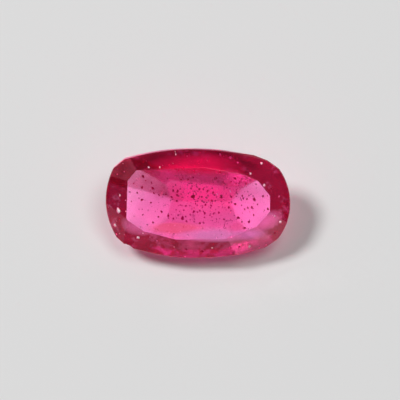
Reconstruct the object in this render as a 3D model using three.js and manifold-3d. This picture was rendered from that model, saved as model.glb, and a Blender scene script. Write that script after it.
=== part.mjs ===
// A loose ruby cut as an elongated cushion, lying on the largest face of its underside.
// Millimetres, +Z up. The stone is cut in its own frame and laid down afterwards. While it is cut, x runs
// along its length, y across its width and z square to its table, and z = 0 is the lower edge of the girdle.

import * as THREE from 'three';
import { mergeVertices } from 'three/addons/utils/BufferGeometryUtils.js';
import Module from 'manifold-3d';

const wasm = await Module();
wasm.setup();

// Outline of the girdle: four corners, going round from the near right one, how far the side after each
// bulges, the flats along a side, and how much of a side is left out where it meets a corner
const CORNERS = [
  new THREE.Vector2(4.84, -2.70),
  new THREE.Vector2(4.95, 2.70),
  new THREE.Vector2(-5.22, 2.84),
  new THREE.Vector2(-5.00, -2.64),
];
const SIDE_BULGES = [1.12, 0.85, 0.88, 0.86];
const SIDE_FLATS = 22;
const CORNER_BLUNT = 0.3;

// Heights above the lower edge of the girdle, and the depth of the keel below it
const TABLE_HEIGHT = 1.33;
const KEEL_DEPTH = 2.9;

// Faces between the table and the girdle: azimuth and slope in degrees, and how far the edge that the face
// shares with the table lies from the middle of the stone. They are uneven, as on a stone cut by hand.
const CROWN_FACES = [
  { azimuth: 0, slope: 32, edge: 4.69 },
  { azimuth: 38.6, slope: 31, edge: 4.09 },
  { azimuth: 66, slope: 35, edge: 3.10 },
  { azimuth: 80, slope: 36, edge: 2.56 },
  { azimuth: 92, slope: 36, edge: 2.50 },
  { azimuth: 112, slope: 34, edge: 3.75 },
  { azimuth: 140, slope: 33, edge: 4.56 },
  { azimuth: 178, slope: 30, edge: 4.62 },
  { azimuth: 203, slope: 42, edge: 4.58 },
  { azimuth: 236, slope: 28, edge: 3.33 },
  { azimuth: 255, slope: 30, edge: 2.50 },
  { azimuth: 271, slope: 31, edge: 2.20 },
  { azimuth: 294, slope: 29, edge: 2.78 },
  { azimuth: 319, slope: 27, edge: 3.77 },
];

// Steep faces just under the girdle, all of one slope
const SKIRT_SLOPE = 54;
const SKIRT_AZIMUTHS = [
  0, 22, 44, 62, 76, 90, 104, 118, 138, 158,
  180, 202, 224, 242, 256, 270, 284, 298, 316, 338,
];

// Faces of the underside: azimuth and slope in degrees, and how far from the middle each would meet the
// keel's level. The stone rests on the first.
const RESTING_SLOPE = 27;
const PAVILION_FACES = [
  { azimuth: 270, slope: RESTING_SLOPE, reach: 0 },
  { azimuth: 90, slope: 27, reach: 0 },
  { azimuth: 2, slope: 29, reach: 2.15 },
  { azimuth: 180, slope: 29, reach: 1.6 },
  { azimuth: 84, slope: 38, reach: 0.62 },
  { azimuth: 88, slope: 37, reach: 0.41 },
  { azimuth: 104, slope: 38, reach: 0.9 },
  { azimuth: 142, slope: 29.5, reach: 1.35 },
  { azimuth: 218, slope: 32, reach: 1.35 },
  { azimuth: 254, slope: 37, reach: 0.85 },
  { azimuth: 269, slope: 37, reach: 0.49 },
  { azimuth: 287, slope: 37, reach: 1.05 },
  { azimuth: 322, slope: 32, reach: 1.75 },
];

// Open pits in the polished faces, thickest right of the middle of the table: place across the stone, and
// width. Each is an uneven hollow as deep as half its width, and narrower one way than the other.
const PIT_NARROWING = 0.8;
const PITS = [
  { x: -5.17, y: -0.33, width: 0.34 },
  { x: -5.42, y: -1.36, width: 0.26 },
  { x: -3.55, y: 1.95, width: 0.20 },
  { x: -3.62, y: 1.22, width: 0.17 },
  { x: -2.92, y: 1.18, width: 0.18 },
  { x: -3.92, y: 0.88, width: 0.13 },
  { x: -3.62, y: 0.42, width: 0.16 },
  { x: -3.04, y: 0.24, width: 0.12 },
  { x: -2.35, y: -0.36, width: 0.17 },
  { x: -2.60, y: -1.58, width: 0.16 },
  { x: -1.58, y: -1.82, width: 0.13 },
  { x: -0.66, y: -1.90, width: 0.14 },
  { x: -1.92, y: -0.62, width: 0.15 },
  { x: -1.10, y: 1.72, width: 0.14 },
  { x: -1.36, y: 0.34, width: 0.13 },
  { x: -0.78, y: 0.02, width: 0.12 },
  { x: -1.00, y: -0.78, width: 0.24 },
  { x: -0.32, y: 0.62, width: 0.26 },
  { x: -0.28, y: -0.38, width: 0.13 },
  { x: 0.12, y: -1.12, width: 0.15 },
  { x: 0.30, y: -1.46, width: 0.14 },
  { x: 0.44, y: -0.46, width: 0.15 },
  { x: 0.62, y: 0.98, width: 0.16 },
  { x: 0.90, y: 0.36, width: 0.14 },
  { x: 1.00, y: 0.90, width: 0.13 },
  { x: 1.36, y: -0.42, width: 0.14 },
  { x: 1.52, y: 0.58, width: 0.15 },
  { x: 1.54, y: -1.86, width: 0.15 },
  { x: 1.74, y: 1.44, width: 0.13 },
  { x: 2.00, y: -0.08, width: 0.14 },
  { x: 2.42, y: 0.14, width: 0.17 },
  { x: 2.62, y: -0.75, width: 0.18 },
  { x: 2.88, y: 0.68, width: 0.13 },
  { x: 3.24, y: -0.10, width: 0.13 },
  { x: 3.30, y: -1.04, width: 0.15 },
  { x: 3.62, y: -0.58, width: 0.14 },
  { x: 3.66, y: 0.45, width: 0.20 },
  { x: 4.22, y: 0.66, width: 0.15 },
  { x: -3.90, y: -2.10, width: 0.20 },
  { x: 2.68, y: -2.74, width: 0.18 },
  { x: 5.36, y: -1.10, width: 0.20 },
  { x: 5.28, y: 0.60, width: 0.13 },
  { x: 3.40, y: 2.12, width: 0.16 },
  { x: 4.12, y: 2.72, width: 0.16 },
  { x: 2.12, y: 3.10, width: 0.15 },
  { x: 0.60, y: 2.94, width: 0.13 },
];

// The nick knocked out of the girdle near its near left corner: its middle on the girdle, its width along
// the girdle, its height, its depth, and how far the girdle there turns from the stone's length, in degrees
const NICK = { x: -4.58, y: -2.82, z: 0.25, width: 0.9, height: 1.2, depth: 0.21, turn: 24 };

// The side of the cube that stands for the grinding wheel, larger than any stone
const WHEEL = 40;

const RUBY = { color: 0xb80f4a, roughness: 0.06, metalness: 0 };

function unit(azimuth, slope) {
  const a = THREE.MathUtils.degToRad(azimuth);
  const s = THREE.MathUtils.degToRad(slope);
  return new THREE.Vector3(Math.cos(a) * Math.sin(s), Math.sin(a) * Math.sin(s), Math.cos(s));
}

function sideArc(from, to, bulge) {
  const chord = from.distanceTo(to);
  const radius = (chord * chord / 4 + bulge * bulge) / (2 * bulge);
  const outward = to.clone().sub(from).divideScalar(chord).rotateAround(new THREE.Vector2(), -Math.PI / 2);
  const centre = from.clone().add(to).multiplyScalar(0.5).addScaledVector(outward, bulge - radius);
  const start = from.clone().sub(centre).angle();
  const end = to.clone().sub(centre).angle();
  return new THREE.EllipseCurve(centre.x, centre.y, radius, radius, start, end, false);
}

function girdleOutline() {
  const points = [];
  CORNERS.forEach((corner, i) => {
    const next = CORNERS[(i + 1) % CORNERS.length];
    points.push(...sideArc(corner, next, SIDE_BULGES[i]).getPoints(SIDE_FLATS));
  });
  return points.filter((p) => CORNERS.every((corner) => corner.distanceTo(p) > CORNER_BLUNT));
}

function girdleReach(outline, azimuth) {
  const out = unit(azimuth, 90);
  return Math.max(...outline.map((p) => p.x * out.x + p.y * out.y));
}

function solid(geometry) {
  geometry.deleteAttribute('normal');
  geometry.deleteAttribute('uv');
  const merged = mergeVertices(geometry, 1e-5);
  const vertProperties = new Float32Array(merged.attributes.position.array);
  const triVerts = new Uint32Array(merged.index.array);
  return new wasm.Manifold(new wasm.Mesh({ numProp: 3, vertProperties, triVerts }));
}

// Takes away everything beyond the plane through a point, whose outward normal is given.
function grind(stone, point, normal) {
  const wheel = new THREE.BoxGeometry(WHEEL, WHEEL, WHEEL);
  wheel.translate(0, 0, WHEEL / 2);
  wheel.applyQuaternion(new THREE.Quaternion().setFromUnitVectors(new THREE.Vector3(0, 0, 1), normal));
  wheel.translate(point.x, point.y, point.z);
  return stone.subtract(solid(wheel));
}

function cutPreform(outline) {
  const blank = new THREE.ExtrudeGeometry(new THREE.Shape(outline), {
    depth: KEEL_DEPTH + TABLE_HEIGHT,
    bevelEnabled: false,
  });
  blank.translate(0, 0, -KEEL_DEPTH);
  return solid(blank);
}

function cutCrown(stone) {
  return CROWN_FACES.reduce((cut, face) => {
    const point = unit(face.azimuth, 90).multiplyScalar(face.edge).setZ(TABLE_HEIGHT);
    return grind(cut, point, unit(face.azimuth, face.slope));
  }, stone);
}

function cutPavilion(stone, outline) {
  const skirted = SKIRT_AZIMUTHS.reduce((cut, azimuth) => {
    const point = unit(azimuth, 90).multiplyScalar(girdleReach(outline, azimuth));
    return grind(cut, point, unit(azimuth, 180 - SKIRT_SLOPE));
  }, stone);
  return PAVILION_FACES.reduce((cut, face) => {
    const point = unit(face.azimuth, 90).multiplyScalar(face.reach).setZ(-KEEL_DEPTH);
    return grind(cut, point, unit(face.azimuth, 180 - face.slope));
  }, skirted);
}

// The crown's surface at a place across the stone: the lowest of its planes there, and that plane's normal.
function crownAt(x, y) {
  let height = TABLE_HEIGHT;
  let normal = new THREE.Vector3(0, 0, 1);
  for (const face of CROWN_FACES) {
    const out = unit(face.azimuth, 90);
    const drop = (x * out.x + y * out.y - face.edge) * Math.tan(THREE.MathUtils.degToRad(face.slope));
    if (TABLE_HEIGHT - drop < height) {
      height = TABLE_HEIGHT - drop;
      normal = unit(face.azimuth, face.slope);
    }
  }
  return { point: new THREE.Vector3(x, y, height), normal };
}

function openPits(stone) {
  return PITS.reduce((cut, pit, i) => {
    const { point, normal } = crownAt(pit.x, pit.y);
    const hollow = new THREE.IcosahedronGeometry(pit.width / 2, 1);
    hollow.scale(1, PIT_NARROWING, 1);
    hollow.rotateZ(i);
    hollow.applyQuaternion(new THREE.Quaternion().setFromUnitVectors(new THREE.Vector3(0, 0, 1), normal));
    hollow.translate(point.x, point.y, point.z);
    return cut.subtract(solid(hollow));
  }, stone);
}

function knockNick(stone) {
  const flake = new THREE.DodecahedronGeometry(1, 0);
  flake.scale(NICK.width / 2, NICK.depth, NICK.height / 2);
  flake.rotateZ(THREE.MathUtils.degToRad(-NICK.turn));
  flake.translate(NICK.x, NICK.y, NICK.z);
  return stone.subtract(solid(flake));
}

function meshGeometry(stone) {
  const mesh = stone.getMesh();
  const geometry = new THREE.BufferGeometry();
  geometry.setAttribute('position', new THREE.BufferAttribute(mesh.vertProperties, mesh.numProp));
  geometry.setIndex(new THREE.BufferAttribute(mesh.triVerts, 1));
  return geometry;
}

// Turns the resting face down to the ground and puts the origin under the middle of the stone.
function layDown(mesh) {
  mesh.rotation.x = THREE.MathUtils.degToRad(RESTING_SLOPE);
  const laid = new THREE.Box3().setFromObject(mesh, true);
  const middle = laid.getCenter(new THREE.Vector3());
  mesh.position.set(-middle.x, -middle.y, -laid.min.z);
}

const outline = girdleOutline();
const faceted = cutPavilion(cutCrown(cutPreform(outline)), outline);
const stone = knockNick(openPits(faceted));

const ruby = new THREE.Mesh(meshGeometry(stone), new THREE.MeshStandardMaterial(RUBY));
ruby.name = 'ruby';
layDown(ruby);

const gemstone = new THREE.Group();
gemstone.add(ruby);

export default gemstone;
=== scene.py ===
import math

import bmesh
import bpy
import numpy as np
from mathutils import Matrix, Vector


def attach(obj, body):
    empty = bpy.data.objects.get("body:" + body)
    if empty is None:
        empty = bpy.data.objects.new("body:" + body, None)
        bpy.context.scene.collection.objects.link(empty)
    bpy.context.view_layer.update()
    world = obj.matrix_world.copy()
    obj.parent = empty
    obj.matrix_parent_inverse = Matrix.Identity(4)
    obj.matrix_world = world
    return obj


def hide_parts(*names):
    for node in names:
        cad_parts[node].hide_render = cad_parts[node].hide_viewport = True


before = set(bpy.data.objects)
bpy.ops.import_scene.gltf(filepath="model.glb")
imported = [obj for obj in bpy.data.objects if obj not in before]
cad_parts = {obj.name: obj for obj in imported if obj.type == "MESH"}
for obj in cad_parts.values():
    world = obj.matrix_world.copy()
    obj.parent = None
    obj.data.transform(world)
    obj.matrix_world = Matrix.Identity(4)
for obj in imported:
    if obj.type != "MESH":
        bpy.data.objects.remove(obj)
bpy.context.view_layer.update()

# The cut stone
# One piece of ruby, sawn from a crystal and ground flat, face by face, on a spinning lap. The edges between
# its faces are slightly rubbed, as on every stone that has been handled loose. Lengths here are in mm.

MM = 0.001
LEAN = math.radians(27)
MIDDLE = np.array([-0.0112, 0.0807, 2.5839])
TABLE_HEIGHT = 1.33
LENGTH_AXIS = np.array([1.0, 0.0, 0.0])
WIDTH_AXIS = np.array([0.0, math.cos(LEAN), math.sin(LEAN)])
TABLE_AXIS = np.array([0.0, -math.sin(LEAN), math.cos(LEAN)])
CORE_DEPTH = 0.6
EDGE_WEAR = (0.015, 0.045)
RIM_WEAR = 2.2
UPRIGHT = 0.1
SHARP_TURN = math.radians(4)
LEAST_HEIGHT = 0.03
SAME_TURN = math.radians(0.5)
SAME_DISTANCE = 0.03
BEHIND = 0.01
SAME_POINT = 0.0002
FLAT_TURN = math.radians(0.2)
rng = np.random.default_rng(7)


def ground_faces(node):
    """Unit normals and distances, in mm, of the flat faces that the whole stone lies behind.

    Each triangle of the solid that isn't a sliver gives a plane. A triangle joins the largest triangle whose
    plane is the same to half a degree and a few hundredths of a millimetre. A plane counts if no corner of
    the solid is in front of it, which leaves out the pits and the nick.
    """
    mesh = node.data
    corners = np.empty(len(mesh.vertices) * 3)
    mesh.vertices.foreach_get("co", corners)
    corners = corners.reshape(-1, 3) / MM
    mesh.calc_loop_triangles()
    triangles = np.empty(len(mesh.loop_triangles) * 3, int)
    mesh.loop_triangles.foreach_get("vertices", triangles)
    a, b, c = (corners[triangles.reshape(-1, 3)[:, i]] for i in range(3))
    cross = np.cross(b - a, c - a)
    doubled = np.linalg.norm(cross, axis=1)
    longest = np.linalg.norm(np.stack([b - a, c - b, a - c]), axis=2).max(0)
    order = np.argsort(-doubled)
    order = order[doubled[order] / longest[order] > LEAST_HEIGHT]
    normal = cross[order] / doubled[order][:, None]
    centre = (a + b + c)[order] / 3
    distance = (normal * centre).sum(1)
    alike = normal @ normal.T > math.cos(SAME_TURN)
    alike &= abs(distance[:, None] - distance) < SAME_DISTANCE
    first = alike.argmax(1)
    share = (first == np.unique(first)[:, None]) * doubled[order]
    normals = share @ normal
    normals /= np.linalg.norm(normals, axis=1)[:, None]
    distances = (share * (normals @ centre.T)).sum(1) / share.sum(1)
    bounding = (normals @ corners.T).max(1) < distances + BEHIND
    return normals[bounding], distances[bounding], corners


def loose_points(points):
    """A bmesh that holds the points alone, in their order."""
    mesh = bpy.data.meshes.new("points")
    mesh.from_pydata(points.tolist(), [], [])
    loose = bmesh.new()
    loose.from_mesh(mesh)
    bpy.data.meshes.remove(mesh)
    return loose


def corner_points(normals, distances, inside):
    """Corners of the body behind all the planes, by duality, and the pairs of planes that share an edge.

    A plane at distance d from an inner point along its normal n is the dual point n / d. The convex hull of
    the dual points has one triangle for each corner of the body, and the three planes of a triangle are
    solved for that corner.
    """
    dual = loose_points(normals / (distances - normals @ inside)[:, None])
    dual.verts.index_update()
    hull = bmesh.ops.convex_hull(dual, input=dual.verts)
    faces = [g for g in hull["geom"] if isinstance(g, bmesh.types.BMFace)]
    triples = np.array([[v.index for v in f.verts] for f in faces])
    dual.free()
    solved = np.linalg.solve(normals[triples], distances[triples][..., None])[..., 0]
    pairs = np.concatenate([triples[:, [0, 1]], triples[:, [1, 2]], triples[:, [2, 0]]])
    return solved, np.unique(np.sort(pairs, axis=1), axis=0)


def rubbed_edges(normals, distances, pairs):
    """Planes that take a strip of some hundredths of a millimetre off each edge, more round the girdle.

    The strip's normal is midway between those of the two faces, and a strip of width w at an edge that turns
    by an angle t lies w / 2 * tan(t / 2) below the edge.
    """
    cosine = (normals[pairs[:, 0]] * normals[pairs[:, 1]]).sum(1)
    turning = cosine < math.cos(SHARP_TURN)
    pairs, cosine = pairs[turning], cosine[turning]
    middle = normals[pairs].sum(1)
    length = np.linalg.norm(middle, axis=1)
    width = rng.uniform(*EDGE_WEAR, len(pairs))
    width[(abs(normals[pairs] @ TABLE_AXIS) < UPRIGHT).any(1)] *= RIM_WEAR
    depth = width / 2 * np.sqrt((1 - cosine) / (1 + cosine))
    return middle / length[:, None], distances[pairs].sum(1) / length - depth


def hull_mesh(name, points):
    """A closed mesh of flat faces round the points, which are in mm."""
    hull = loose_points(points * MM)
    bmesh.ops.remove_doubles(hull, verts=hull.verts, dist=SAME_POINT * MM)
    made = bmesh.ops.convex_hull(hull, input=hull.verts)
    bmesh.ops.delete(hull, geom=[v for v in made["geom_interior"] if v.is_valid], context="VERTS")
    bmesh.ops.dissolve_limit(hull, angle_limit=FLAT_TURN, verts=hull.verts, edges=hull.edges)
    bmesh.ops.recalc_face_normals(hull, faces=hull.faces)
    mesh = bpy.data.meshes.new(name)
    hull.to_mesh(mesh)
    hull.free()
    return mesh


def put_in_scene(name, mesh):
    """An object at the origin that holds the mesh."""
    piece = bpy.data.objects.new(name, mesh)
    bpy.context.scene.collection.objects.link(piece)
    return piece


face_normals, face_distances, cad_corners = ground_faces(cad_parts["ruby"])
core = MIDDLE - CORE_DEPTH * TABLE_AXIS
_, edge_pairs = corner_points(face_normals, face_distances, core)
strip_normals, strip_distances = rubbed_edges(face_normals, face_distances, edge_pairs)
all_normals = np.concatenate([face_normals, strip_normals])
all_distances = np.concatenate([face_distances, strip_distances])
stone_corners, _ = corner_points(all_normals, all_distances, core)
stone = put_in_scene("ruby_stone", hull_mesh("ruby_stone", stone_corners))

# Open pits
# Where the lap met hollows and grains in the crystal it left pits, from a few tenths of a millimetre down to
# specks, thickest right of the middle of the table. The large ones are where the solid has them. Most of
# those in the table are coloured dark.

PIT_RINGS = 5
PIT_SIDES = 10
LUMP_WAVES = np.array([2, 3, 5])
LUMP_SIZES = np.array([0.16, 0.12, 0.07])
LUMP_SIDE = LENGTH_AXIS + 0.3 * WIDTH_AXIS
PIT_GAP = 0.16
GROUPING_ROUNDS = 12
LEAST_DEPTH = 0.02
WIDTH_PER_DEPTH = 2.2
NICK_MIDDLE = (-4.58, -2.82, 0.25)
NICK_REACH = 0.75
SPECKS = {"table": 420, "crown": 170, "below": 90}
SPECK_WIDTH = (0.045, 0.15)
LEAST_WIDTH = 0.03
CLOUD_MIDDLE = (0.9, 0.40)
CLOUD_SPREAD = (1.9, 0.95)
CLOUD_SHARE = 0.5
HALF_LENGTH = 5.9
HALF_WIDTH = 3.5
LEVEL = 0.999
CROWDING = 0.75
DARKENED_ON_TABLE = 0.9
DARKENED_ELSEWHERE = 0.2
PIT_DARKNESS = (0.85, 1.3)
PIT_DEPTH = (0.3, 0.6)
SPECK_NARROWING = (0.45, 0.95)
LARGE_NARROWING = (0.75, 1.0)


def at(x, y, z):
    """Points in mm of places in the stone: x along its length, y across it and z square to its table."""
    x, y, z = (np.asarray(v, float)[..., None] for v in (x, y, z))
    return MIDDLE + x * LENGTH_AXIS + y * WIDTH_AXIS + z * TABLE_AXIS


def unit(vectors):
    """The vectors at length 1."""
    return vectors / np.linalg.norm(vectors, axis=-1)[..., None]


def met_faces(start, direction):
    """Where rays from inside the stone leave it, and the number of the face they leave by.

    A ray meets a plane after (distance - normal . start) / (normal . direction), and leaves by the nearest
    plane that it runs towards.
    """
    towards = direction @ face_normals.T
    reach = (face_distances - start @ face_normals.T) / np.where(towards > 1e-6, towards, np.nan)
    face = np.nanargmin(reach, axis=1)
    length = np.take_along_axis(reach, face[:, None], 1)
    return start + direction * length, face


def source_pits():
    """Middles on the faces, faces and widths of the solid's own pits.

    The solid's corners that lie deeper than any face, apart from those of the nick, are gathered into groups
    of neighbours. The ray from the middle of the stone through a group gives its face, and the group's middle
    is moved square to that face until it lies on it. A pit's width goes with its depth.
    """
    depth = (face_distances - cad_corners @ face_normals.T).min(1)
    from_nick = np.linalg.norm(cad_corners - at(*NICK_MIDDLE), axis=1)
    inner = (depth > LEAST_DEPTH) & (from_nick > NICK_REACH)
    corners, depth = cad_corners[inner], depth[inner]
    near = np.linalg.norm(corners[:, None] - corners, axis=2) < PIT_GAP
    group = np.arange(len(corners))
    for _ in range(GROUPING_ROUNDS):
        group = np.where(near, group, len(corners)).min(1)
    member = group == np.unique(group)[:, None]
    middle = member @ corners / member.sum(1)[:, None]
    _, face = met_faces(np.broadcast_to(core, middle.shape), unit(middle - core))
    normal = face_normals[face]
    lift = face_distances[face] - (middle * normal).sum(1)
    return middle + lift[:, None] * normal, face, WIDTH_PER_DEPTH * (member * depth).max(1)


def ball_faces(rings, sides):
    """Faces of a closed ball of rings of points, with its two poles after them: quads, then triangles."""
    ring, here = np.meshgrid(np.arange(rings - 1) * sides, np.arange(sides), indexing="ij")
    after = (here + 1) % sides
    walls = np.stack([ring + here, ring + sides + here, ring + sides + after, ring + after], axis=-1)
    here, after = here[0], after[0]
    last = (rings - 1) * sides
    pole = np.full(sides, rings * sides)
    first_cap = np.stack([pole, here, after], axis=1)
    last_cap = np.stack([pole + 1, last + after, last + here], axis=1)
    return walls.reshape(-1, 4), np.concatenate([first_cap, last_cap])


def uneven_lumps(middle, normal, width, depth, narrowing):
    """Closed lumps, one for each middle, as points of shape (lumps, points, 3) and the faces of one lump.

    A lump is a ball on a grid of latitude and longitude. Its radius is 1 + sum of a cos(k u + phase) of the
    longitude u. It is as wide as `width` along the face, less the other way, and reaches `depth` square to
    the face.
    """
    v = np.linspace(0, np.pi, PIT_RINGS + 2)[1:-1]
    u = np.arange(PIT_SIDES) * 2 * np.pi / PIT_SIDES
    phase = rng.uniform(0, 2 * np.pi, (len(middle), len(LUMP_WAVES), 1))
    lump = 1 + (LUMP_SIZES[:, None] * np.cos(LUMP_WAVES[:, None] * u + phase)).sum(1)
    across = lump[:, None, :] * np.sin(v)[:, None]
    turned = u + rng.uniform(0, 2 * np.pi, (len(middle), 1, 1))
    side = unit(np.cross(normal, LUMP_SIDE))
    other = np.cross(normal, side)
    grid = (across * np.cos(turned))[..., None] * side[:, None, None]
    narrowed = across * narrowing[:, None, None] * np.sin(turned)
    grid = grid + narrowed[..., None] * other[:, None, None]
    grid = grid * (width / 2)[:, None, None, None]
    height = np.cos(v) * depth[:, None]
    grid = grid + height[:, :, None, None] * normal[:, None, None]
    poles = depth[:, None, None] * normal[:, None] * np.array([1.0, -1.0])[:, None]
    points = np.concatenate([grid.reshape(len(middle), -1, 3), poles], axis=1) + middle[:, None]
    return points, *ball_faces(PIT_RINGS, PIT_SIDES)


def lumps_mesh(name, points, walls, caps):
    """One mesh of all the lumps, its lengths turned from mm to metres."""
    offset = np.arange(len(points))[:, None, None] * points.shape[1]
    faces = (walls + offset).reshape(-1, 4).tolist() + (caps + offset).reshape(-1, 3).tolist()
    mesh = bpy.data.meshes.new(name)
    mesh.from_pydata((points.reshape(-1, 3) * MM).tolist(), [], faces)
    return mesh


def scattered(count, part):
    """Places across the stone, in mm, for pits of the table, the crown or the underside."""
    even = rng.uniform((-HALF_LENGTH, -HALF_WIDTH), (HALF_LENGTH, HALF_WIDTH), (count, 2))
    cloud = rng.normal(CLOUD_MIDDLE, CLOUD_SPREAD, (count, 2))
    clouded = (rng.random(count) < CLOUD_SHARE) & (part == "table")
    return np.where(clouded[:, None], cloud, even)


def mostly_small(widths, count):
    """Widths of which the small ones are commonest: the square of an even draw, over the largest."""
    return rng.uniform(*widths, count) ** 2 / widths[1] + LEAST_WIDTH


def cut_away(piece, tool):
    """Takes the closed tool out of the closed piece, and removes the tool."""
    cut = piece.modifiers.new("cut", "BOOLEAN")
    cut.operation = "DIFFERENCE"
    cut.solver = "MANIFOLD"
    cut.object = tool
    made = bpy.data.meshes.new_from_object(piece.evaluated_get(bpy.context.evaluated_depsgraph_get()))
    piece.modifiers.clear()
    whole = piece.data
    piece.data = made
    bpy.data.meshes.remove(whole)
    bpy.data.objects.remove(tool)


pit_middle, pit_face, pit_width = source_pits()
middles, faces_met, widths = [pit_middle], [pit_face], [pit_width]
for part, count in SPECKS.items():
    start = at(*scattered(count, part).T, 0)
    start = start[(start @ face_normals.T < face_distances).all(1)]
    towards = -TABLE_AXIS if part == "below" else TABLE_AXIS
    point, face = met_faces(start, np.broadcast_to(towards, start.shape))
    flat = face_normals[face] @ TABLE_AXIS > LEVEL
    chosen = flat if part == "table" else ~flat
    middles.append(point[chosen])
    faces_met.append(face[chosen])
    widths.append(mostly_small(SPECK_WIDTH, chosen.sum()))
middles = np.concatenate(middles)
faces_met = np.concatenate(faces_met)
widths = np.concatenate(widths)
gap = np.linalg.norm(middles[:, None] - middles, axis=2)
index = np.arange(len(widths))
crowded = (gap < CROWDING * (widths[:, None] + widths)) & (index[:, None] > index)
kept = ~crowded.any(1)
middles, faces_met, widths = middles[kept], faces_met[kept], widths[kept]
on_table = face_normals[faces_met] @ TABLE_AXIS > LEVEL
# Most pits in the table and a few elsewhere are coloured dark.
darkened = rng.random(len(widths)) < np.where(on_table, DARKENED_ON_TABLE, DARKENED_ELSEWHERE)
large = np.arange(len(widths)) < len(pit_width)
darkened = np.where(large, on_table, darkened)
pit_darkness = np.where(darkened, rng.uniform(*PIT_DARKNESS, len(widths)), 0.0)
depths = widths * rng.uniform(*PIT_DEPTH, len(widths))
narrow = rng.uniform(*SPECK_NARROWING, len(widths))
narrow[: len(pit_width)] = rng.uniform(*LARGE_NARROWING, len(pit_width))
hollows = uneven_lumps(middles, face_normals[faces_met], widths, depths, narrow)
cut_away(stone, put_in_scene("pit_cutter", lumps_mesh("pit_cutter", *hollows)))

# The nick
# A shell-shaped flake came off the girdle near a corner when the stone was knocked, and left a bite with
# faint ripples, as ruby breaks.

NICK_SIZE = (0.9, 0.21, 1.2)
NICK_TURN = math.radians(-24)
RIPPLES = 9
RIPPLE_HEIGHT = 0.03
NICK_RINGS = 24
NICK_SIDES = 32


def flake():
    """A closed shell-shaped lump in mm.

    A ball on a grid of latitude v and longitude u, with its poles on the line that runs along the girdle. Its
    radius is 1 + a cos(k v), so that the ripples run round the pole, and it is stretched to the flake's size.
    """
    v = np.linspace(0, np.pi, NICK_RINGS + 2)[1:-1, None]
    u = np.arange(NICK_SIDES) * 2 * np.pi / NICK_SIDES
    radius = 1 + RIPPLE_HEIGHT * np.cos(RIPPLES * v)
    along = radius * np.cos(v) + 0 * u
    across = radius * np.sin(v) * np.cos(u)
    upward = radius * np.sin(v) * np.sin(u)
    rings = np.stack([along, across, upward], axis=-1).reshape(-1, 3)
    poles = np.array([[1.0, 0, 0], [-1.0, 0, 0]]) * (1 + RIPPLE_HEIGHT)
    ball = np.concatenate([rings, poles]) * np.array(NICK_SIZE) / [2, 1, 2]
    x = ball[:, 0] * math.cos(NICK_TURN) - ball[:, 1] * math.sin(NICK_TURN) + NICK_MIDDLE[0]
    y = ball[:, 0] * math.sin(NICK_TURN) + ball[:, 1] * math.cos(NICK_TURN) + NICK_MIDDLE[1]
    return at(x, y, ball[:, 2] + NICK_MIDDLE[2])


chip_mesh = lumps_mesh("chip", flake()[None], *ball_faces(NICK_RINGS, NICK_SIDES))
cut_away(stone, put_in_scene("chip", chip_mesh))
stone.data.name = "ruby_stone"

# How the faces are finished, and where light and shade are painted on them
# The girdle is left as it comes off the grinding wheel and carries painted shade, except at its far left,
# which faces the light and carries a painted pale glow; the pits and the nick are as broken. A film from
# handling, deepened by painted shade, dulls the crown, and painted shade gathers along its rim; the shade is
# lighter in two places on the near side. A painted pale glow lies as a veil on some faces, and the far side's
# lower faces carry a painted glow of rich colour and are richer in colour.

CROWN_UPWARD = (0.7, 0.99)
BELOW_UPWARD = (-0.9, -0.75)
SAME_PLANE = 0.003
SAME_FACING = 0.9995
# Painted shade on the girdle, except on its far left, which faces the light and takes a painted pale glow.
GIRDLE_PAINTED_SHADE = 1.1
LIT_GIRDLE_SIDE = (-0.55, 0.83)
LIT_FROM = 0.55
NICK_GRIME = 0.2
# Handling film deepened by painted shade on the crown, and painted shade along its rim.
FILM_AND_SHADE = 1.0
RIM_PAINTED_SHADE = 1.35
LESS_SHADE = (
    {"azimuth": 290, "spread": 30, "share": 0.22},
    {"azimuth": 210, "spread": 25, "share": 0.1},
)
# Painted pale glow laid as a veil on lower faces, strongest at the two ends, which lightens the view inside.
PAINTED_VEIL_BELOW = {
    "right end": {"along": (0.4, 1.0), "across": (-1.0, 1.0), "painted_veil": 1.25},
    "left end": {"along": (-1.0, -0.4), "across": (-1.0, 1.0), "painted_veil": 0.85},
    "near side": {"along": (-1.0, 1.0), "across": (-1.0, -0.5), "painted_veil": 0.52},
    "resting face": {"along": (-0.05, 0.05), "across": (-0.5, -0.44), "painted_veil": 0.28},
    "near right": {"along": (0.1, 0.4), "across": (-1.0, -0.3), "painted_veil": 0.3},
}
PAINTED_VEIL_CROWN = {"along": (0.1, 1.0), "across": (-1.0, -0.2), "painted_veil": 0.12}
PAINTED_VEIL_GIRDLE = 0.5
PAINTED_VEIL_TABLE = 0.02
# Painted glow of rich colour on the far side's lower faces.
PAINTED_GLOW_BELOW = {"along": (-1.0, 1.0), "across": (0.4, 0.5), "painted_glow": 0.9}

count = len(stone.data.polygons)
centres = np.empty(count * 3)
turns = np.empty(count * 3)
stone.data.polygons.foreach_get("center", centres)
stone.data.polygons.foreach_get("normal", turns)
centres = centres.reshape(-1, 3) / MM
turns = turns.reshape(-1, 3)
along, across, upward = turns @ LENGTH_AXIS, turns @ WIDTH_AXIS, turns @ TABLE_AXIS


def within(values, limits):
    """Which values lie between the two limits."""
    return (values > limits[0]) & (values < limits[1])


def facing_within(part):
    """Which faces are turned along and across the stone within the part's limits."""
    return within(along, part["along"]) & within(across, part["across"])


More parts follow.
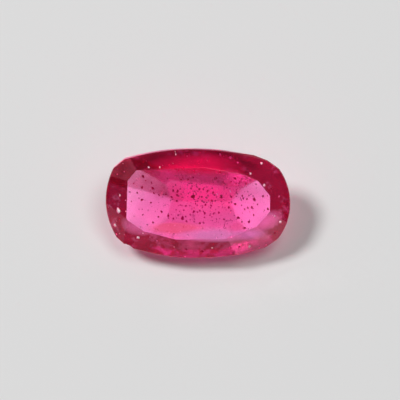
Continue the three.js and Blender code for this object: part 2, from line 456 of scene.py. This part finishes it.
on_plane = abs(centres @ all_normals.T - all_distances) < SAME_PLANE
on_plane &= turns @ all_normals.T > SAME_FACING
on_girdle = abs(upward) < UPRIGHT
unpolished = ~on_plane.any(1) | on_girdle
from_nick = np.linalg.norm(centres - at(*NICK_MIDDLE), axis=1)
on_nick = unpolished & ~on_girdle & (from_nick < NICK_REACH)
below = within(upward, BELOW_UPWARD) & ~unpolished
crown = within(upward, CROWN_UPWARD) & ~unpolished
table = (upward > CROWN_UPWARD[1]) & ~unpolished
nearest = np.linalg.norm(centres[unpolished][:, None] - middles, axis=2).argmin(1)
azimuth = np.degrees(np.arctan2(across, along)) % 360
# Painted shade on the crown is lighter towards two places on the near side.
less_shade = [w["share"] * np.exp(-(((azimuth - w["azimuth"]) / w["spread"]) ** 2)) for w in LESS_SHADE]
# The girdle's far left faces the light: painted pale glow there, painted shade elsewhere.
lit_side = along * LIT_GIRDLE_SIDE[0] + across * LIT_GIRDLE_SIDE[1]
lit_side = np.clip((lit_side - LIT_FROM) / (1 - LIT_FROM), 0, 1)

# Film and painted shade on the crown, painted shade on its rim and girdle, dark pits, a little at the nick.
grime_and_shade = FILM_AND_SHADE * (1 - np.max(less_shade, axis=0)) * within(upward, CROWN_UPWARD)
grime_and_shade[within(upward, (UPRIGHT, CROWN_UPWARD[0]))] = RIM_PAINTED_SHADE
grime_and_shade[unpolished] = pit_darkness[nearest]
grime_and_shade[on_girdle] = GIRDLE_PAINTED_SHADE * (1 - lit_side[on_girdle])
grime_and_shade[on_nick] = NICK_GRIME
# Painted veil of pale glow: on lower faces, a little on the crown and table, and on the girdle's lit far
# left.
painted_veil = np.zeros(count)
for part in PAINTED_VEIL_BELOW.values():
    painted_veil[below & facing_within(part)] = part["painted_veil"]
painted_veil[crown & facing_within(PAINTED_VEIL_CROWN)] = PAINTED_VEIL_CROWN["painted_veil"]
painted_veil[on_girdle] = PAINTED_VEIL_GIRDLE * lit_side[on_girdle]
painted_veil[table] = PAINTED_VEIL_TABLE
# Painted glow: marks the far side's lower faces.
painted_glow = np.zeros(count)
painted_glow[below & facing_within(PAINTED_GLOW_BELOW)] = PAINTED_GLOW_BELOW["painted_glow"]
for name, values in (("unpolished", unpolished), ("grime_and_shade", grime_and_shade), ("painted_veil", painted_veil), ("painted_glow", painted_glow)):
    layer = stone.data.attributes.new(name, "FLOAT", "FACE")
    layer.data.foreach_set("value", values.astype(np.float32))

# Ruby
# Clear corundum, which swallows green light most and lets red through, and glows faintly red in daylight;
# this faint glow all over is also painted light, which brightens the stone. The polish is slightly wavy and
# scratched, with fine lap lines, and the unpolished parts are rough. Near the table's edges lie soft bands of
# painted glow and painted shade, laid over the colour.

RUBY_IOR = 1.76
REFLECTION = (1.0, 0.20, 0.36, 1)
SWALLOWED = {"colour": (0.95, 0.22, 0.70, 1), "density": 400}
CLEAN_FACE = (1.0, 0.78, 0.88, 1)
# Dark colour of the film and the painted shade.
DIRT_AND_SHADE = (0.085, 0.001, 0.006, 1)
RICH_FACE = (1.0, 0.045, 0.33, 1)
# Faint red glow all over: partly fluorescence, partly painted light that brightens the stone.
FLUORESCENCE_AND_PAINTED_GLOW = (0.03, 0.00015, 0.0036, 1)
# Painted glow of rich colour, on the far side's lower faces.
PAINTED_RICH_GLOW = (0.56, 0.085, 0.25, 1)
# Painted pale glow, laid as a veil on some faces.
PAINTED_PALE_GLOW = (0.40, 0.28, 0.37, 1)
PATCHES = {"size": 1.1, "detail": 2.0}
BLOTCHES = {"size": 0.3, "detail": 3.0}
BLOTCH_STRENGTH = 0.8
FILM_AND_SHADE_EVEN = 0.6
VEIL_EVEN = 0.58
VEIL_PATCHY = 0.9
VEIL_BLOTCHY = 0.6
ZONE_MIDDLE = 0.3
ZONE_REACH = 4.2
ZONE_STRENGTH = 1.4
ZONE_EVEN = 0.3
ZONE_PATCHY = 1.4
# Painted bands near the table's edges: each lays a painted glow and a darker tint of painted shade over its
# patch.
PAINTED_PALE_SHADE = (0.32, 0.27, 0.30, 1)
PAINTED_RED_SHADE = (0.55, 0.004, 0.05, 1)
PAINTED_BANDS = (
    {"x": -1.45, "y": -1.42, "half": (2.1, 0.42), "share": 2.6, "painted_glow": (0.34, 0.030, 0.035, 1)},
    {"x": 1.20, "y": -1.90, "half": (2.9, 0.50), "share": 1.8, "painted_glow": (0.22, 0.095, 0.205, 1)},
    {"x": 3.60, "y": -1.95, "half": (1.4, 0.55), "share": 1.2, "painted_glow": (0.16, 0.085, 0.230, 1)},
    {"x": 4.60, "y": -1.15, "half": (1.2, 1.10), "share": 1.4, "painted_glow": (0.27, 0.050, 0.150, 1)},
    {"x": -4.10, "y": -1.40, "half": (1.3, 0.80), "share": 0.9, "painted_glow": (0.19, 0.055, 0.130, 1)},
    {
        "x": 0.50,
        "y": 2.85,
        "half": (4.4, 1.1),
        "share": 1.7,
        "painted_shade": PAINTED_RED_SHADE,
        "painted_glow": (0.34, 0.0015, 0.03, 1),
    },
)
BAND_DEPTH = 0.6
BAND_EVEN = 0.5
WAVES = {"size": 1.1, "detail": 1.0, "height": 0.012}
RIPPLED = {"size": 0.35, "detail": 1.0, "height": 0.0018}
LAP_LINES = {"size": 0.05, "detail": 2.0, "height": 0.0003}
GRIT = {"size": 0.04, "detail": 3.0, "height": 0.008}
LAP_TURN = (0.4, 0.2, 0.6)
LAP_STRETCH = (0.06, 1.0, 1.0)
SCRATCHES = {"size": 0.8, "detail": 3.0}
POLISHED_ROUGHNESS = 0.14
SCRATCHED_ROUGHNESS = 0.16
UNPOLISHED_ROUGHNESS = 0.45


def new_material(name):
    """A material with its node tree, its Principled shader and the Object coordinates."""
    material = bpy.data.materials.new(name)
    material.use_nodes = True
    nodes = material.node_tree.nodes
    coordinates = nodes.new("ShaderNodeTexCoord").outputs["Object"]
    return material, material.node_tree, nodes["Principled BSDF"], coordinates


ruby, tree, shader, place = new_material("ruby")
shader.inputs["IOR"].default_value = RUBY_IOR
shader.inputs["Transmission Weight"].default_value = 1.0
shader.inputs["Specular Tint"].default_value = REFLECTION
shader.inputs["Emission Strength"].default_value = 1.0
swallow = tree.nodes.new("ShaderNodeVolumeAbsorption")
swallow.inputs["Color"].default_value = SWALLOWED["colour"]
swallow.inputs["Density"].default_value = SWALLOWED["density"]
tree.links.new(swallow.outputs["Volume"], tree.nodes["Material Output"].inputs["Volume"])


def feed(value, socket):
    """Gives a socket a plain value, or joins another socket to it."""
    if isinstance(value, (int, float, tuple)):
        socket.default_value = value
    else:
        tree.links.new(value, socket)


def noise(kind, source):
    """Noise at the source's coordinates, of the kind's size in mm and detail."""
    texture = tree.nodes.new("ShaderNodeTexNoise")
    texture.inputs["Scale"].default_value = 1 / (kind["size"] * MM)
    texture.inputs["Detail"].default_value = kind["detail"]
    tree.links.new(source, texture.inputs["Vector"])
    return texture.outputs["Fac"]


def calculated(operation, *terms):
    """A Math node with sockets or plain numbers as its inputs."""
    maths = tree.nodes.new("ShaderNodeMath")
    maths.operation = operation
    for i, term in enumerate(terms):
        feed(term, maths.inputs[i])
    return maths.outputs["Value"]


def mixed(share, first, second):
    """A colour that goes from the first to the second as the share goes from 0 to 1."""
    mix = tree.nodes.new("ShaderNodeMix")
    mix.data_type = "RGBA"
    feed(share, mix.inputs[0])
    feed(first, mix.inputs[6])
    feed(second, mix.inputs[7])
    return mix.outputs[2]


def of_face(name):
    """A number that each face of the stone carries."""
    attribute = tree.nodes.new("ShaderNodeAttribute")
    attribute.attribute_name = name
    return attribute.outputs["Fac"]


def relief(kind, source):
    """The height in metres of one kind of unevenness of the surface."""
    return calculated("MULTIPLY", noise(kind, source), kind["height"] * MM)


def with_painted_band(band, colour, light):
    """The colour and the light of the surface with one painted band of glow and shade laid over them.

    A point's distance from the band's middle is measured in halves of the band's length, width and depth, and
    the band covers its share of (1 - distance), kept between 0 and 1 and broken up by the patches.
    """
    half = np.array([*band["half"], BAND_DEPTH]) * MM
    middle = at(band["x"], band["y"], TABLE_HEIGHT) * MM
    scaled = tree.nodes.new("ShaderNodeMapping")
    scaled.inputs["Location"].default_value = tuple(-middle / half)
    scaled.inputs["Scale"].default_value = tuple(1 / half)
    tree.links.new(place, scaled.inputs["Vector"])
    distance = tree.nodes.new("ShaderNodeVectorMath")
    distance.operation = "LENGTH"
    tree.links.new(scaled.outputs["Vector"], distance.inputs[0])
    near = calculated("SUBTRACT", 1.0, distance.outputs["Value"])
    near = calculated("MULTIPLY", calculated("MAXIMUM", near, 0.0), band["share"])
    cover = calculated("MULTIPLY", near, calculated("ADD", patches, BAND_EVEN))
    return mixed(cover, colour, band.get("painted_shade", PAINTED_PALE_SHADE)), mixed(cover, light, band["painted_glow"])


patches = noise(PATCHES, place)
blotches = calculated("SUBTRACT", noise(BLOTCHES, place), 0.5)
blotches = calculated("MULTIPLY", blotches, BLOTCH_STRENGTH)
# Film and painted shade, in patches.
patchy_film_and_shade = calculated("ADD", calculated("ADD", patches, blotches), FILM_AND_SHADE_EVEN)
patchy_film_and_shade = calculated("MULTIPLY", of_face("grime_and_shade"), patchy_film_and_shade)
# The far side's lower faces take a painted glow and a richer colour, fading towards both ends of the stone.
sides = tree.nodes.new("ShaderNodeSeparateXYZ")
tree.links.new(place, sides.inputs["Vector"])
from_middle = calculated("ABSOLUTE", calculated("SUBTRACT", sides.outputs["X"], ZONE_MIDDLE * MM))
fading = calculated("SUBTRACT", 1.0, calculated("DIVIDE", from_middle, ZONE_REACH * MM))
fading = calculated("MULTIPLY", calculated("MAXIMUM", fading, 0.0), ZONE_STRENGTH)
zone_and_painted_glow = calculated("MULTIPLY", of_face("painted_glow"), fading)
zone_and_painted_glow = calculated("MULTIPLY", zone_and_painted_glow, calculated("MULTIPLY_ADD", patches, ZONE_PATCHY, ZONE_EVEN))
# How strongly the painted pale glow shows, in patches.
patchy_veil = calculated("MULTIPLY_ADD", patches, VEIL_PATCHY, VEIL_EVEN)
patchy_veil = calculated("MULTIPLY_ADD", blotches, VEIL_BLOTCHY, patchy_veil)
patchy_veil = calculated("MULTIPLY", of_face("painted_veil"), patchy_veil)
colour = mixed(zone_and_painted_glow, mixed(patchy_film_and_shade, CLEAN_FACE, DIRT_AND_SHADE), RICH_FACE)
light = mixed(patchy_veil, mixed(zone_and_painted_glow, FLUORESCENCE_AND_PAINTED_GLOW, PAINTED_RICH_GLOW), PAINTED_PALE_GLOW)
for band in PAINTED_BANDS:
    colour, light = with_painted_band(band, colour, light)
tree.links.new(colour, shader.inputs["Base Color"])
tree.links.new(light, shader.inputs["Emission Color"])

lap_direction = tree.nodes.new("ShaderNodeMapping")
lap_direction.inputs["Rotation"].default_value = LAP_TURN
lap_direction.inputs["Scale"].default_value = LAP_STRETCH
tree.links.new(place, lap_direction.inputs["Vector"])
wavy = calculated("ADD", relief(WAVES, place), relief(RIPPLED, place))
rough = of_face("unpolished")
grit = calculated("MULTIPLY", relief(GRIT, place), rough)
scored = calculated("ADD", relief(LAP_LINES, lap_direction.outputs["Vector"]), grit)
bump = tree.nodes.new("ShaderNodeBump")
bump.inputs["Strength"].default_value = 1.0
bump.inputs["Distance"].default_value = 1.0
tree.links.new(calculated("ADD", wavy, scored), bump.inputs["Height"])
tree.links.new(bump.outputs["Normal"], shader.inputs["Normal"])
worn = calculated("MULTIPLY_ADD", noise(SCRATCHES, place), SCRATCHED_ROUGHNESS, POLISHED_ROUGHNESS)
roughness = calculated("MULTIPLY_ADD", rough, UNPOLISHED_ROUGHNESS, worn)
tree.links.new(roughness, shader.inputs["Roughness"])

stone.data.materials.clear()
stone.data.materials.append(ruby)
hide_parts("ruby")
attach(stone, "root")

# Grains and strings of grains
# Dark mineral grains that the crystal grew round, up to 0.15 mm wide. They lie within about a millimetre of
# the table, thickest where the pits are, and some lie in short curved strings, where a crack healed.

GRAINS = 240
GRAIN_WIDTH = (0.035, 0.12)
GRAIN_DEPTH = (0.2, 1.1)
GRAIN_LIMITS = (4.2, 2.0)
GRAIN_THICKNESS = (0.25, 0.45)
GRAIN_NARROWING = (0.4, 0.9)
SLIDE = 0.0787
STRING_JITTER = 0.015
STRUNG_WIDTH = (0.05, 0.09)
STRINGS = (
    {"x": -0.52, "y": 1.36, "radius": 0.15, "start": -60, "sweep": 230, "grains": 9},
    {"x": -0.20, "y": 0.84, "radius": 0.11, "start": 0, "sweep": 330, "grains": 12},
    {"x": 2.60, "y": -1.45, "radius": 0.90, "start": 147, "sweep": 33, "grains": 9},
    {"x": 2.12, "y": -2.40, "radius": 1.45, "start": 81, "sweep": 18, "grains": 8},
    {"x": -1.60, "y": -0.60, "radius": 0.35, "start": 150, "sweep": 65, "grains": 7},
    {"x": 0.30, "y": 1.95, "radius": 0.80, "start": 200, "sweep": 60, "grains": 9},
)
GRAIN_DARK = (0.10, 0.008, 0.02, 1)
GRAIN_RUSTY = (0.30, 0.02, 0.08, 1)
RUST_SIZE = 0.06
MOTTLE_DETAIL = 2.0
MOTTLE_SOCKETS = {"Place": "Vector", "Scale": "Float", "First": "Color", "Second": "Color"}


def strung(string):
    """Places of a string's grains: a piece of a circle, x + r cos(t) and y + r sin(t), slightly uneven."""
    turn = np.radians(string["start"] + np.linspace(0, string["sweep"], string["grains"]))
    bend = np.array([string["x"], string["y"]])
    bend = bend + string["radius"] * np.stack([np.cos(turn), np.sin(turn)], axis=1)
    return bend + rng.normal(0, STRING_JITTER, bend.shape)


spot = rng.normal(CLOUD_MIDDLE, CLOUD_SPREAD, (GRAINS, 2))
spot = spot[(abs(spot) < GRAIN_LIMITS).all(1)]
on_strings = np.concatenate([strung(string) for string in STRINGS])
below_table = rng.uniform(*GRAIN_DEPTH, len(spot))
below_table = np.concatenate([below_table, np.full(len(on_strings), GRAIN_DEPTH[0])])
spot = np.concatenate([spot, on_strings])
seed_place = at(spot[:, 0], spot[:, 1] - SLIDE * below_table, TABLE_HEIGHT - below_table)
seed_width = mostly_small(GRAIN_WIDTH, len(spot))
seed_width[-len(on_strings):] = rng.uniform(*STRUNG_WIDTH, len(on_strings))
seed_normal = unit(rng.normal(0, 1, (len(spot), 3)))
seed_depth = seed_width * rng.uniform(*GRAIN_THICKNESS, len(spot))
seed_narrow = rng.uniform(*GRAIN_NARROWING, len(spot))
seeds = uneven_lumps(seed_place, seed_normal, seed_width, seed_depth, seed_narrow)
grains = put_in_scene("inclusions", lumps_mesh("inclusions", *seeds))


def mottle_group():
    """A shader node group whose colour goes between First and Second by noise at the Place."""
    group = bpy.data.node_groups.new("mottle", "ShaderNodeTree")
    for name, kind in MOTTLE_SOCKETS.items():
        group.interface.new_socket(name=name, in_out="INPUT", socket_type="NodeSocket" + kind)
    group.interface.new_socket(name="Color", in_out="OUTPUT", socket_type="NodeSocketColor")
    given = group.nodes.new("NodeGroupInput").outputs
    texture = group.nodes.new("ShaderNodeTexNoise")
    texture.inputs["Detail"].default_value = MOTTLE_DETAIL
    mix = group.nodes.new("ShaderNodeMix")
    mix.data_type = "RGBA"
    group.links.new(given["Place"], texture.inputs["Vector"])
    group.links.new(given["Scale"], texture.inputs["Scale"])
    group.links.new(texture.outputs["Fac"], mix.inputs[0])
    group.links.new(given["First"], mix.inputs[6])
    group.links.new(given["Second"], mix.inputs[7])
    group.links.new(mix.outputs[2], group.nodes.new("NodeGroupOutput").inputs["Color"])
    return group


def mottled(size, first, second):
    """The colour of the material's own mottle, with features `size` mm wide."""
    node = tree.nodes.new("ShaderNodeGroup")
    node.node_tree = mottle
    node.inputs["Scale"].default_value = 1 / (size * MM)
    node.inputs["First"].default_value = first
    node.inputs["Second"].default_value = second
    tree.links.new(place, node.inputs["Place"])
    return node.outputs["Color"]


mottle = mottle_group()
dark_mineral, tree, shader, place = new_material("dark_mineral")
shader.inputs["Roughness"].default_value = 0.6
tree.links.new(mottled(RUST_SIZE, GRAIN_DARK, GRAIN_RUSTY), shader.inputs["Base Color"])
grains.data.materials.append(dark_mineral)
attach(grains, "root")

# Painted glints
# Pale lumps sunk in the crown's large open pits and in many of its specks stand in for the glints of light in
# them, and show as pale dots.

GLINT_SHARE = 0.55
LARGE_PIT = 0.2
GLINT_SIZE = 0.88
GLINT_DEPTH = 0.6
GLINT_SINK = 0.25
GLINT_SHIFT = 0.12
CROWN_LEVEL = 0.5
GLINT_PINK = (0.90, 0.55, 0.65, 1)
GLINT_WHITE = (1.0, 0.88, 0.92, 1)
GLINT_MOTTLE_SIZE = 0.04

# Painted glints: pale lumps in the crown's pits stand in for glints of light.
crown_pit = ~on_table & (face_normals[faces_met] @ TABLE_AXIS > CROWN_LEVEL)
glinting = crown_pit & (pit_darkness == 0) & ((rng.random(len(widths)) < GLINT_SHARE) | (widths > LARGE_PIT))
glint_normal = face_normals[faces_met[glinting]]
glint_place = middles[glinting] - GLINT_SINK * depths[glinting][:, None] * glint_normal
glint_lumps = uneven_lumps(
    glint_place + GLINT_SHIFT * widths[glinting][:, None] * LENGTH_AXIS,
    glint_normal,
    GLINT_SIZE * widths[glinting],
    GLINT_DEPTH * depths[glinting],
    narrow[glinting],
)
painted_glints = put_in_scene("painted_glints", lumps_mesh("painted_glints", *glint_lumps))

# Pale, mottled material of the painted glints.
painted_glint_white, tree, shader, place = new_material("painted_glint_white")
shader.inputs["Roughness"].default_value = 0.85
tree.links.new(mottled(GLINT_MOTTLE_SIZE, GLINT_PINK, GLINT_WHITE), shader.inputs["Base Color"])
painted_glints.data.materials.append(painted_glint_white)
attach(painted_glints, "root")

# Floor, light and camera
# A plain pale surface, a soft light from high on the left, a broader one overhead, and even light from all
# round. The camera looks steeply down, as for the photograph.

FLOOR_CORNERS = ((-1, -1), (1, -1), (1, 1), (-1, 1))
FLOOR_HALF = 1.5
FLOOR_GAP = 0.01
FLOOR_GREY = (0.76, 0.76, 0.76, 1)
ROOM_LIGHT = 0.13
LAMP_DISTANCE = 1.0
LAMPS = (
    {"name": "window_light", "towards": (-0.64, 0.24, 1.0), "width": 0.28, "power": 6.28},
    {"name": "ceiling_light", "towards": (0.255, 0.045, 0.966), "width": 0.50, "power": 3.0},
)
CAMERA_ELEVATION = math.radians(71)
LENS = 250.0
SENSOR = 36.0
PICTURE_PIXELS = 400
STONE_PIXELS = 184.0
STONE_LENGTH = 12.0
PICTURE_WIDTH = PICTURE_PIXELS * STONE_LENGTH / STONE_PIXELS * MM
PICTURE_MIDDLE = (0.13, 0.26)
AIM_HEIGHT = 0.0027

floor_mesh = bpy.data.meshes.new("floor")
floor_corners = [(x * FLOOR_HALF, y * FLOOR_HALF, -FLOOR_GAP * MM) for x, y in FLOOR_CORNERS]
floor_mesh.from_pydata(floor_corners, [], [(0, 1, 2, 3)])
floor = put_in_scene("floor", floor_mesh)
paper = bpy.data.materials.new("pale_floor")
paper.use_nodes = True
shader = paper.node_tree.nodes["Principled BSDF"]
shader.inputs["Base Color"].default_value = FLOOR_GREY
shader.inputs["Roughness"].default_value = 0.9
shader.inputs["Specular IOR Level"].default_value = 0.1
floor_mesh.materials.append(paper)

world = bpy.data.worlds.new("room")
bpy.context.scene.world = world
world.use_nodes = True
world.node_tree.nodes["Background"].inputs["Color"].default_value = (1, 1, 1, 1)
world.node_tree.nodes["Background"].inputs["Strength"].default_value = ROOM_LIGHT

for lamp in LAMPS:
    data = bpy.data.lights.new(lamp["name"], "AREA")
    data.shape = "DISK"
    data.size = lamp["width"]
    data.energy = lamp["power"]
    box = bpy.data.objects.new(lamp["name"], data)
    direction = Vector(lamp["towards"]).normalized()
    box.location = direction * LAMP_DISTANCE
    box.rotation_euler = direction.to_track_quat("Z", "Y").to_euler()
    bpy.context.scene.collection.objects.link(box)

back = Vector((0, -math.cos(CAMERA_ELEVATION), math.sin(CAMERA_ELEVATION)))
up = Vector((0, math.sin(CAMERA_ELEVATION), math.cos(CAMERA_ELEVATION)))
aim = Vector((PICTURE_MIDDLE[0] * MM, 0, AIM_HEIGHT)) + up * PICTURE_MIDDLE[1] * MM
camera_data = bpy.data.cameras.new("camera")
camera_data.lens = LENS
camera_data.sensor_width = SENSOR
camera_data.clip_start = 0.01
camera_data.clip_end = 10
camera = bpy.data.objects.new("camera", camera_data)
camera.location = aim + back * (PICTURE_WIDTH * LENS / SENSOR)
camera.rotation_mode = "QUATERNION"
camera.rotation_quaternion = (-back).to_track_quat("-Z", "Y")
bpy.context.scene.collection.objects.link(camera)
bpy.context.scene.camera = camera

scene = bpy.context.scene
scene.view_settings.view_transform = "Standard"
scene.cycles.sample_clamp_indirect = 0.0
scene.cycles.blur_glossy = 0.0
scene.cycles.max_bounces = 24
scene.cycles.transmission_bounces = 24
scene.cycles.glossy_bounces = 12
scene.cycles.diffuse_bounces = 4
